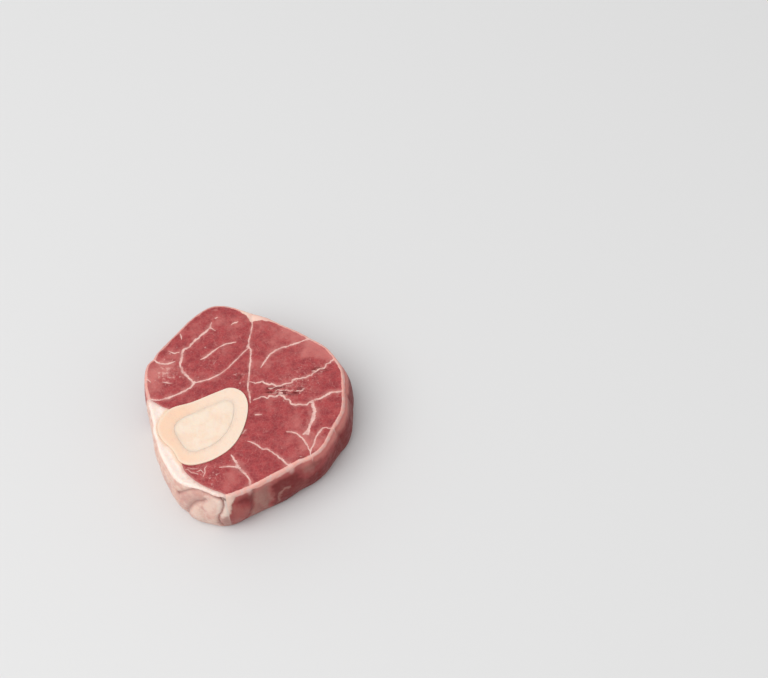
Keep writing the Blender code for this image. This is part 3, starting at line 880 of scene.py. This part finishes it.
class Flesh(Cloud):
    """The dense surface of meat and fat round the bone, and the triangles of each."""

    def __init__(self):
        super().__init__()
        self.faces = {"meat": [], "fat": []}
        self.rings, self.places = wall_rings()
        self.rim, self.foot = self.rings[-1][:, :2].copy(), self.rings[0][:, :2].copy()
        self.bone = grown(smooth_path(BONE_OUTLINE, CUT_STEP), FLESH_GAP)
        edges = (UPPER_FAT_EDGE, LOWER_FAT_EDGE)
        self.ends = [(nearest_to(top_ring, edge[0]), nearest_to(self.bone, edge[-1])) for edge in edges]
        self.cuts = [cut_path(edge, self.rim[i], self.bone[j]) for edge, (i, j) in zip(edges, self.ends)]
        leans = [(self.foot[i] - self.rim[i]) * eased(cut) for cut, (i, _) in zip(self.cuts, self.ends)]
        self.foot_cuts = [cut + lean for cut, lean in zip(self.cuts, leans)]
        self.add_wall()
        self.add_faces()
        self.add_inner_walls()

    def share_out(self, triangles, is_fat):
        self.faces["fat"].append(triangles[is_fat])
        self.faces["meat"].append(triangles[~is_fat])

    def add_wall(self):
        """The side wall, with its upper edge rounded up to the face."""
        distances, looks = face_fields(self.rim, self.rim, self.bone, self.cuts)
        low = TOP_HEIGHT - RIM_HEIGHT
        rim_rise = face_height(self.rim, distances) - low
        for ring, turn in zip(self.rings[-len(TURNS):], TURNS):
            ring[:, 2] = low + rim_rise * math.sin(turn)
        below = zip(self.rings[:-1], self.places)
        self.wall = [self.add(ring, **wall_looks(ring, place, looks)) for ring, place in below]
        self.wall.append(self.add(self.rings[-1], around=self.places[-1][:, 0], lip=lips, **looks))
        (upper_end, _), (lower_end, _) = self.ends
        numbers = np.arange(ring_count)
        is_fat = np.tile((numbers >= lower_end) & (numbers < upper_end), 2)
        for lower, upper in zip(self.wall, self.wall[1:]):
            self.share_out(quads(lower, upper, loop=True), is_fat)

    def add_faces(self):
        """The upper and the lower face."""
        grid = face_points(self.rim, self.bone, self.cuts)
        plane = np.vstack([self.rim, self.bone, *(cut[1:-1] for cut in self.cuts), grid])
        distances, looks = face_fields(plane, self.rim, self.bone, self.cuts)
        self.heights = face_height(plane, distances)
        looks = {name: values[ring_count:] for name, values in looks.items()}
        top = self.add(np.column_stack([plane, self.heights])[ring_count:], **looks)
        grid = underside_points(self.foot, self.bone, self.foot_cuts)
        low_plane = np.vstack([self.foot, self.bone, *(cut[1:-1] for cut in self.foot_cuts), grid])
        bottom = self.add(column(low_plane, 0)[ring_count:])
        top, bottom = np.append(self.wall[-1], top), np.append(self.wall[0], bottom)
        self.upper_face = flat_face(plane, top, self.bone, self.cuts, self.ends)
        self.lower_face = flat_face(low_plane, bottom, self.bone, self.foot_cuts, self.ends)
        for triangles, is_fat, _, _ in (self.upper_face, self.lower_face):
            self.share_out(triangles, is_fat)

    def add_inner_walls(self):
        """The hole for the bone, and the two cuts between fat and meat."""
        _, bone_heights, *cut_heights, _ = parts_of(self.heights, self.bone, self.cuts)
        bone_rows, cut_rows = [self.lower_face[2]], [[row] for row in self.lower_face[3]]
        cuts = list(zip(cut_rows, self.cuts, self.foot_cuts, cut_heights, self.ends))
        for ring, place, numbers in list(zip(self.rings, self.places, self.wall))[1:-1]:
            share = place[0, 1] / TOP_HEIGHT
            bone_rows.append(self.add(np.column_stack([self.bone, share * bone_heights])))
            for rows, cut, foot_cut, cut_height, (i, j) in cuts:
                line = foot_cut + (cut - foot_cut) * share
                line = line + (ring[i, :2] - line[0]) * eased(cut)
                made = self.add(np.column_stack([line[1:-1], share * cut_height]))
                rows.append(np.array([numbers[i], *made, bone_rows[-1][j]]))
        (_, upper_bone), (_, lower_bone) = self.ends
        numbers = np.arange(len(self.bone))
        is_fat = np.tile((numbers >= lower_bone) | (numbers < upper_bone), 2)
        for lower, upper in zip(bone_rows, [*bone_rows[1:], self.upper_face[2]]):
            self.share_out(quads(lower, upper, loop=True), is_fat)
        for rows, last in zip(cut_rows, self.upper_face[3]):
            for lower, upper in zip(rows, [*rows[1:], last]):
                for faces in self.faces.values():
                    faces.append(quads(lower, upper, loop=False))

    def piece(self, name, kind):
        points, fields = self.joined()
        return mesh_object(name, points, np.vstack(self.faces[kind]), fields)


def mesh_object(name, points, faces, fields):
    """A closed piece from points in mm, moved so that the slice's middle lies on the origin."""
    used, faces = np.unique(faces, return_inverse=True)
    placed = (points[used] - (*BOX_MIDDLE, 0)) * MM
    mesh = bpy.data.meshes.new(name)
    mesh.from_pydata(placed.tolist(), [], faces.reshape(-1, 3).tolist())
    for field, values in fields.items():
        layer = mesh.attributes.new(field, "FLOAT", "POINT")
        layer.data.foreach_set("value", values[used].astype(np.float32))
    shell = bmesh.new()
    shell.from_mesh(mesh)
    bmesh.ops.recalc_face_normals(shell, faces=shell.faces)
    shell.to_mesh(mesh)
    shell.free()
    mesh.shade_smooth()
    mesh.set_sharp_from_angle(angle=math.radians(SHARP_ANGLE))
    made = bpy.data.objects.new(name, mesh)
    bpy.context.scene.collection.objects.link(made)
    return made


def bone_height(points, inner):
    """The sawn face of the bone: nearly flat, with faint saw marks."""
    along = points[:, 0] * SAW_WAY[0] + points[:, 1] * SAW_WAY[1]
    marks = np.sin(along * 2 * math.pi / SAW_PITCH + 2 * lattice_noise(points, 6, 61))
    height = THICKNESS - BONE_SUNK + SAW_DEPTH * marks + 0.06 * layered_noise(points, 5, 62)
    return height - 0.06 * bump(to_path(points, closed(inner)), 0.5)


def marrow_height(points, outer):
    """The marrow's face: soft, a little sunk and lumpy."""
    height = THICKNESS - MARROW_SUNK + 0.1 * bump(to_path(points, closed(outer)), 0.9)
    return height + 0.12 * layered_noise(points, 4.5, 65) + 0.03 * lattice_noise(points, 1.2, 69)


def core(name, rings, height_of, rounding):
    """A closed piece of even section in a ring, or a tube between two, with a rounded upper edge."""
    ways = (-rounding, rounding)
    flat = [grown(ring, way) for ring, way in zip(rings, ways)]
    grid = grid_points(rings[0], CUT_STEP)
    grid = grid[inside(grid, flat[0])]
    for hole in flat[1:]:
        grid = grid[~inside(grid, hole)]
    plane = np.vstack([*flat, clear_of(grid, [closed(ring) for ring in flat], BORDER_GAP)])
    heights = height_of(plane, rings[-1])
    starts = np.cumsum([0, *(len(ring) for ring in flat)])
    borders = chain(list(range(starts[1], starts[-1])), loop=True)
    triangles = triangulated(plane, borders, len(flat[0]))
    for hole in flat[1:]:
        triangles = triangles[~inside(plane[triangles].mean(axis=1), hole)]
    cloud = Cloud()
    edges = [np.minimum(to_path(plane, closed(ring), reach=FAR), FAR) for ring in (rings[0], rings[-1])]
    top = cloud.add(np.column_stack([plane, heights]), rim=edges[0], seam=edges[1])
    low = cloud.add(column(plane, 0))
    faces = [top[triangles], low[triangles]]
    for ring, way, start in zip(rings, ways, starts):
        part = slice(start, start + len(ring))
        rows = [low[part]]
        for height in np.linspace(0, STRAIGHT_TOP, STRAIGHT_ROWS):
            rows.append(cloud.add(column(ring, height + FIRST_ROW)))
        for turn in CORE_TURNS[:-1]:
            points = grown(ring, way * (1 - math.cos(turn)))
            height = heights[part] - rounding * (1 - math.sin(turn))
            rows.append(cloud.add(np.column_stack([points, height]), rim=0, seam=0))
        rows.append(top[part])
        faces += [quads(lower, upper, loop=True) for lower, upper in zip(rows, rows[1:])]
    points, fields = cloud.joined()
    return mesh_object(name, points, np.vstack(faces), fields)


class Shades:
    """A material and short calls that add nodes to it. Sizes are in millimetres."""

    def __init__(self, name):
        self.made = bpy.data.materials.new(name)
        self.made.use_nodes = True
        self.tree = self.made.node_tree
        self.shader = self.tree.nodes["Principled BSDF"]
        self.place = self.scaled(self.node("TexCoord", {})["Object"], 1 / MM)

    def put(self, value, socket):
        if isinstance(value, (int, float)):
            socket.default_value = value
        elif isinstance(value, tuple):
            socket.default_value = value if len(socket.default_value) == len(value) else (*value, 1)
        else:
            self.tree.links.new(value, socket)

    def node(self, kind, feeds, **settings):
        """Adds a node, feeds its inputs by name or number, and returns its outputs."""
        made = self.tree.nodes.new("ShaderNode" + kind)
        for name, value in settings.items():
            setattr(made, name, value)
        for socket, value in feeds.items():
            self.put(value, made.inputs[socket])
        return made.outputs

    def math(self, operation, *values, clamp=False):
        return self.node("Math", dict(enumerate(values)), operation=operation, use_clamp=clamp)[0]

    def times(self, first, second, clamp=False):
        return self.math("MULTIPLY", first, second, clamp=clamp)

    def plus(self, first, second, clamp=False):
        return self.math("ADD", first, second, clamp=clamp)

    def scaled(self, vector, factor):
        factor = factor if isinstance(factor, tuple) else (factor,) * 3
        return self.node("VectorMath", {0: vector, 1: factor}, operation="MULTIPLY")[0]

    def moved(self, vector, shift):
        return self.node("VectorMath", {0: vector, 1: shift}, operation="ADD")[0]

    def axes(self, *values):
        return self.node("CombineXYZ", dict(enumerate(values)))[0]

    def split(self, vector):
        return self.node("SeparateXYZ", {0: vector})

    def field(self, name):
        return self.node("Attribute", {}, attribute_name=name)["Fac"]

    def noise(self, size, detail=3.0, rough=0.55, vector=None, seed=0, twist=0.0):
        place = self.moved(vector or self.place, (13.1 * seed, 7.7 * seed, 3.3 * seed))
        feeds = {"Vector": place, "Scale": 1 / size, "Detail": detail, "Roughness": rough}
        return self.node("TexNoise", {**feeds, "Distortion": twist})[0]

    def cells(self, size, feature="DISTANCE_TO_EDGE", vector=None):
        feeds = {"Vector": vector or self.place, "Scale": 1 / size}
        return self.node("TexVoronoi", feeds, feature=feature)[0]

    def remap(self, *spans):
        """A value taken softly from low and high to 0 and 1, or to the two numbers after them."""
        return self.node("MapRange", dict(enumerate(spans)), interpolation_type="SMOOTHSTEP")[0]

    def uneven(self, size, seed, low, high):
        """A value that drifts between two numbers."""
        return self.remap(self.noise(size, 3, seed=seed), 0.3, 0.7, low, high)

    def shaken(self, value, noise, amount):
        """A value with a noise round 0.5 added to it."""
        return self.plus(value, self.times(self.math("SUBTRACT", noise, 0.5), amount))

    def ridges(self, noise):
        """Thin lines along the middle of a noise, where this is near 0."""
        return self.math("ABSOLUTE", self.math("SUBTRACT", noise, 0.5))

    def mix(self, factor, first, second):
        return self.node("Mix", {0: factor, 6: first, 7: second}, data_type="RGBA")[2]

    def over(self, colour, *layers):
        """Lays colours over one. Each has its strength, or a value and what remap makes the strength from."""
        for other, value, *spans in layers:
            colour = self.mix(self.remap(value, *spans) if spans else value, colour, other)
        return colour

    def bump(self, height, depth, under=None):
        feeds = {"Distance": depth * MM, "Strength": 1, "Height": height}
        if under is not None:
            feeds["Normal"] = under
        return self.node("Bump", feeds)[0]

    def finish(self, colour, roughness, normal, soft, spread, reach, shine):
        """Feeds the shader: how much light scatters inside, in which colours, and how far in mm."""
        feeds = {
            "Base Color": colour, "Roughness": roughness, "Normal": normal, "Subsurface Weight": soft,
            "Subsurface Radius": spread, "Subsurface Scale": reach * MM, "Specular IOR Level": shine,
        }
        for socket, value in feeds.items():
            self.put(value, self.shader.inputs[socket])
        return self.made


DEEP_RED = (0.290, 0.040, 0.046)
RED = (0.400, 0.060, 0.063)
PALE_RED = (0.550, 0.165, 0.150)
# Also painted shade: in the creases, beside the bone, in torn hollows and on the lower right wall
DARK_RED = (0.135, 0.014, 0.014)
SINEW = (0.800, 0.520, 0.465)
LIP_PEACH = (0.850, 0.430, 0.360)
PINK = (0.570, 0.225, 0.200)
HAZE_PINK = (0.395, 0.190, 0.160)
BLUSH_AND_LIGHT = (0.740, 0.245, 0.210)
WALL_DEEP = (0.285, 0.050, 0.052)
WALL_RED = (0.390, 0.074, 0.072)
# Darkens the fat's side: painted shade
FAT_SIDE_SHADE = (0.86, 0.78, 0.75)
FAT_WHITE = (0.920, 0.780, 0.700)
FAT_CREAM = (0.860, 0.640, 0.540)
FAT_PINK = (0.740, 0.430, 0.370)
FAT_MAUVE = (0.560, 0.300, 0.265)
# Painted shade in the deepest folds of the fat
FOLD_SHADE = (0.300, 0.100, 0.080)
NOTCH_TINT = (0.94, 0.82, 0.78)
BONE_PEACH = (0.880, 0.610, 0.440)
BONE_CREAM = (0.880, 0.695, 0.555)
BONE_PINK = (0.780, 0.480, 0.390)
BONE_GREY = (0.700, 0.530, 0.445)
MARROW_CREAM = (0.875, 0.725, 0.590)
MARROW_PEACH = (0.865, 0.665, 0.520)


def fat_colour(shades, white):
    """Fat: cream with pink patches and faint membranes; whiter where white is 1."""
    return shades.over(
        FAT_CREAM,
        (FAT_PINK, shades.noise(5, 4, seed=3), 0.42, 0.66),
        (FAT_WHITE, shades.noise(2.2, 4, seed=4), 0.45, 0.7, 0, 0.6),
        (FAT_WHITE, white),
    )


def cut_face(shades, fine, blotch, grain):
    """The cut muscles: mottled, with flecks, threads, white seams and torn places."""
    noise, remap, times, field = shades.noise, shades.remap, shades.times, shades.field
    seam, torn_share = field("seam"), field("torn")
    broad = shades.shaken(times(field("tone"), 0.16), noise(11, 4, seed=5), 0.6)
    flecked = times(field("flecked"), 0.09)
    threads = remap(shades.ridges(noise(8, 2, 0.5, seed=7, twist=0.3)), 0.003, 0.02, 0.35, 0)
    halo = remap(noise(4, 3, seed=18), 0.35, 0.65, 0.1, 0.6)
    line = remap(shades.shaken(seam, fine, 1.9), 1.3, 0.5)
    fibres = shades.scaled(shades.place, (0.4, 1.0, 1.0))
    tear = remap(noise(1.9, 3, vector=fibres, seed=9), 0.42, 0.56)
    tear_light = remap(noise(1.6, 3, 0.5, vector=fibres, seed=10), 0.57, 0.64)
    return shades.over(
        DEEP_RED,
        (RED, blotch, 0.36, 0.62),
        (PALE_RED, broad, 0.0, 0.20, 0, 0.9),
        (DEEP_RED, broad, -0.03, -0.2, 0, 0.75),
        (PINK, grain, 0.0, 0.14, 0.16, 0),
        (PINK, shades.plus(noise(1.1, 3, 0.6, seed=6), flecked), 0.60, 0.76, 0, 0.42),
        (SINEW, shades.plus(noise(1.9, 3, 0.5, seed=17, twist=0.2), flecked), 0.69, 0.81, 0, 0.42),
        (PINK, times(threads, remap(noise(9, 2, seed=8), 0.5, 0.62))),
        (PINK, times(remap(seam, 4.5, 0.8), halo)),
        (PINK, shades.shaken(field("cut"), blotch, 3.0), 1.4, 0.0, 0, 0.6),
        (SINEW, times(line, remap(noise(5, 3, seed=15), 0.3, 0.6, 0.45, 1.0))),
        # Torn places: darker streaks, partly painted shade in their hollows, and paler torn fibres
        (DARK_RED, times(times(torn_share, tear), 0.85)),
        (SINEW, times(times(torn_share, tear_light), 0.8)),
    )


def side_wall(shades, fibres, rim):
    """The side of the meat: fibres that run up it under a thin skin."""
    remap, times, field = shades.remap, shades.times, shades.field
    dark = field("dark")
    up = times(shades.split(shades.place)[2], 0.6)
    skin = shades.noise(8, 4, vector=shades.axes(field("around"), 0.0, up), seed=12)
    veil = times(remap(skin, 0.46, 0.72, 0.04, 0.5), remap(dark, 0.2, 1.0, 1.0, 0.45))
    return shades.over(
        WALL_DEEP,
        (WALL_RED, fibres, 0.36, 0.66, 0.15, 0.9),
        # Darker patches: darker muscles, and painted shade under the rim and on the lower right wall
        (DARK_RED, times(dark, 0.7)),
        (HAZE_PINK, shades.plus(veil, field("haze"), clamp=True)),
        # A pink band under the rim of the right wall, partly painted light
        (BLUSH_AND_LIGHT, times(field("blush"), 0.85)),
        # Paler towards the upper edge of the wall
        (PALE_RED, rim, -7, -1.5, 0, 0.6),
        (SINEW, field("seam"), 2.4, 0.6, 0, 0.7),
    )


def meat_material():
    shades = Shades("meat")
    noise, remap, times, field = shades.noise, shades.remap, shades.times, shades.field
    rim, lip = field("rim"), field("lip")
    across, _, up = shades.split(shades.place)
    fine, blotch = noise(0.8, 3, seed=1), noise(4.2, 5, 0.62, seed=2)
    shaken = shades.moved(shades.place, shades.scaled(shades.axes(fine, blotch, 0.5), 1.6))
    grain = shades.cells(1.9, vector=shaken)
    fibres = noise(2.2, 4, 0.6, vector=shades.axes(field("around"), 0.0, times(up, 0.22)), seed=11)

    # The pale lip lies over the edge between face and wall, fat over the far notch, painted shade in creases
    # and by the bone
    shaken_rim = shades.shaken(rim, noise(4, 4, seed=13), 2.2)
    inner_side = remap(shades.math("SUBTRACT", shaken_rim, times(lip, 0.55)), 0.5, -0.1)
    outer_side = remap(shades.plus(shaken_rim, lip), -1.7, -0.1)
    lip_share = times(times(inner_side, outer_side), remap(lip, 0.0, 0.7, 0.5, 0.95))
    lip_colour = shades.over(LIP_PEACH, (SINEW, noise(3, 3, seed=16), 0.4, 0.65))
    notch_fat = shades.scaled(fat_colour(shades, 0.6), NOTCH_TINT)
    notch_fat = shades.over(notch_fat, (FAT_PINK, across, 0, 9, 0, 0.75))
    colour = shades.over(
        cut_face(shades, fine, blotch, grain),
        (side_wall(shades, fibres, rim), rim, -0.5, -1.6),
        (lip_colour, lip_share),
        (notch_fat, shades.shaken(field("pale"), fine, 0.7), 0.15, 0.9),
        # Painted shade in the creases of the wall and beside the bone
        (DARK_RED, times(field("deep"), 0.6, clamp=True)),
    )

    face_share = remap(rim, -1.6, -0.5)
    height = shades.plus(times(grain, 0.8), times(blotch, 1.2))
    height = times(height, remap(face_share, 0, 1, 0.25, 1))
    normal = shades.bump(fibres, 0.10, under=shades.bump(height, 0.12))
    rough, shine = shades.uneven(2.5, 14, 0.34, 0.52), remap(face_share, 0, 1, 0.07, 0.2)
    return shades.finish(colour, rough, normal, 0.12, (1.0, 0.28, 0.2), 1.2, shine)


def fat_material():
    shades = Shades("fat")
    noise, remap, times, field = shades.noise, shades.remap, shades.times, shades.field
    face = remap(field("rim"), -1.6, -0.4)
    white = shades.math("MAXIMUM", remap(face, 0, 1, 0.1, 0.9), field("pale"))
    lace = shades.ridges(noise(6, 4, seed=21, twist=0.8))
    colour = shades.over(fat_colour(shades, white), (FAT_PINK, lace, 0.0, 0.035, 0.2, 0))
    # The fat's side is its own colour darkened: painted shade
    colour = shades.mix(face, shades.scaled(colour, FAT_SIDE_SHADE), colour)
    # Painted shade in the creases of the fat's side: mauve, and brown where they are deepest
    fold_shade = remap(field("deep"), 0.1, 1.0)
    colour = shades.over(
        colour,
        # The haze patches on the fat lie in its hollows and along its foot: their mauve is partly painted
        # shade
        (FAT_MAUVE, times(field("haze"), remap(noise(3.5, 4, seed=24), 0.3, 0.6, 0.35, 1))),
        (HAZE_PINK, times(field("raw"), 0.8)),
        (FAT_PINK, shades.shaken(field("cut"), noise(2.5, 4, seed=25), 3.0), 2.2, 0.0, 0, 0.75),
        (BONE_PEACH, shades.shaken(field("bone"), noise(3, 3, seed=26), 3.0), 2.6, 0.0, 0, 0.8),
        (FAT_MAUVE, times(fold_shade, 0.7)),
        (FOLD_SHADE, times(shades.math("POWER", fold_shade, 2.5), 0.7)),
    )
    normal = shades.bump(noise(1.6, 4, 0.6, seed=23), 0.2)
    return shades.finish(colour, shades.uneven(3, 22, 0.38, 0.55), normal, 0.3, (1.0, 0.6, 0.45), 2.0, 0.4)


def bone_material():
    shades = Shades("bone")
    noise, remap, times = shades.noise, shades.remap, shades.times
    outer, inner = shades.field("rim"), shades.field("seam")
    leftward = shades.plus(shades.split(shades.place)[0], times(noise(12, 3, seed=31), 24.0))
    pitted = times(remap(shades.cells(0.9, "F1"), 0.34, 0.2), remap(inner, 3.5, 0.6))
    colour = shades.over(
        BONE_PEACH,
        (BONE_CREAM, leftward, -26, 2),
        (BONE_PINK, noise(2.2, 4, 0.6, seed=32), 0.5, 0.75, 0, 0.25),
        (MARROW_CREAM, outer, 2.0, 0.0, 0, 0.6),
        (BONE_PINK, times(pitted, 0.2)),
        (BONE_GREY, inner, 2.4, 0.0, 0, 0.28),
    )
    normal = shades.bump(shades.math("SUBTRACT", noise(1.2, 4, 0.6, seed=34), pitted), 0.08)
    return shades.finish(colour, shades.uneven(2, 33, 0.42, 0.58), normal, 0.25, (1.0, 0.6, 0.4), 2.0, 0.4)


def marrow_material():
    shades = Shades("marrow")
    colour = shades.over(
        MARROW_CREAM,
        (MARROW_PEACH, shades.noise(6, 4, seed=41), 0.38, 0.64),
        (BONE_PINK, shades.noise(1.6, 3, seed=42), 0.6, 0.78, 0, 0.3),
        (BONE_GREY, shades.field("rim"), 1.6, 0.0, 0, 0.24),
    )
    normal = shades.bump(shades.noise(1.8, 4, 0.6, seed=44), 0.16)
    return shades.finish(colour, shades.uneven(2.4, 43, 0.34, 0.5), normal, 0.35, (1.0, 0.7, 0.45), 2.5, 0.45)


def dress():
    """Puts a dressed piece in the place of each node."""
    flesh = Flesh()
    bone_line = smooth_path(BONE_OUTLINE, CUT_STEP)
    marrow_line = grown(smooth_path(MARROW_OUTLINE, CUT_STEP), MARROW_GROWN)
    hole = grown(marrow_line, MARROW_GAP)
    pieces = {
        "meat": (flesh.piece("meat_flesh", "meat"), meat_material()),
        "fat": (flesh.piece("fat_band", "fat"), fat_material()),
        "bone": (core("bone_ring", (bone_line, hole), bone_height, BONE_ROUNDING), bone_material()),
        "marrow": (core("marrow_core", (marrow_line,), marrow_height, MARROW_ROUNDING), marrow_material()),
    }
    for node, (piece, material) in pieces.items():
        piece.data.materials.append(material)
        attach(piece, "root")
        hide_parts(node)


def placed_in_scene(name, data, place, turn):
    made = bpy.data.objects.new(name, data)
    made.location = place
    made.rotation_euler = turn
    bpy.context.scene.collection.objects.link(made)
    return made


def studio():
    """A pale floor, soft light from the upper left, and the photograph's camera."""
    bpy.ops.mesh.primitive_plane_add(size=FLOOR_SIZE)
    floor = bpy.context.object
    floor.name = "floor"
    paint = bpy.data.materials.new("floor")
    paint.use_nodes = True
    shader = paint.node_tree.nodes["Principled BSDF"]
    shader.inputs["Base Color"].default_value = FLOOR_GREY
    shader.inputs["Roughness"].default_value = FLOOR_ROUGHNESS
    floor.data.materials.append(paint)

    world = bpy.data.worlds.new("studio")
    world.use_nodes = True
    sky = world.node_tree.nodes["Background"]
    sky.inputs["Color"].default_value = (1, 1, 1, 1)
    sky.inputs["Strength"].default_value = WORLD_STRENGTH
    bpy.context.scene.world = world
    light = bpy.data.lights.new("key", "AREA")
    light.shape = "DISK"
    light.size = KEY_SIZE
    light.energy = KEY_POWER
    placed_in_scene("key", light, KEY_PLACE, (-Vector(KEY_PLACE)).to_track_quat("-Z", "Y").to_euler())
    bpy.context.scene.view_settings.view_transform = "Standard"

    camera = bpy.data.cameras.new("camera")
    camera.lens = CAMERA_LENS
    camera.sensor_width = CAMERA_SENSOR
    camera.clip_start = NEAREST_SEEN
    turn = (math.radians(90 - CAMERA_PITCH), 0, 0)
    bpy.context.scene.camera = placed_in_scene("camera", camera, CAMERA_PLACE, turn)


dress()
studio()
